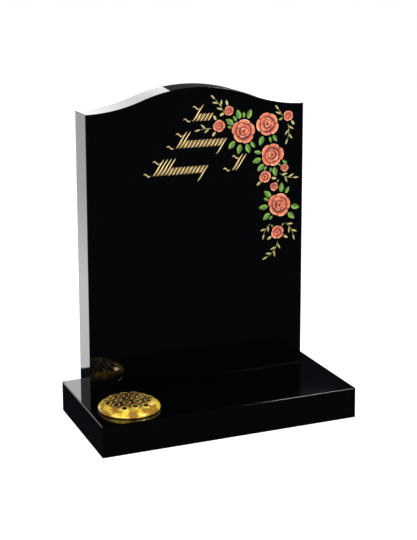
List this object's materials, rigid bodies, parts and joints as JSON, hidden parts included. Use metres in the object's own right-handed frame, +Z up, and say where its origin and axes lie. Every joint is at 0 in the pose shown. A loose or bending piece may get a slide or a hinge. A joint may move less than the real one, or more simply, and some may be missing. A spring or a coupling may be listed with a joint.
{
  "type": "ogee headstone",
  "caption": "Polished black granite headstone with an ogee top and shallow carved spray and strokes, on a granite base with a domed perforated flower holder.",
  "frame": {"origin": "middle of the base's underside", "axes": "+Z up, -Y towards the front, which the carved face looks to, and +X to the right seen from the front"},
  "size_m": [0.61, 0.305, 0.7578],
  "materials": {
    "headstone_granite": "polished, with gilded and painted carving",
    "base_granite": "polished",
    "pot_metal": "spun, satin",
    "lid_metal": "polished gold colour"
  },
  "bodies": {
    "root": {"headstone": "headstone_granite", "base": "base_granite", "pot": "pot_metal", "lid": "lid_metal"}
  },
  "joints": []
}
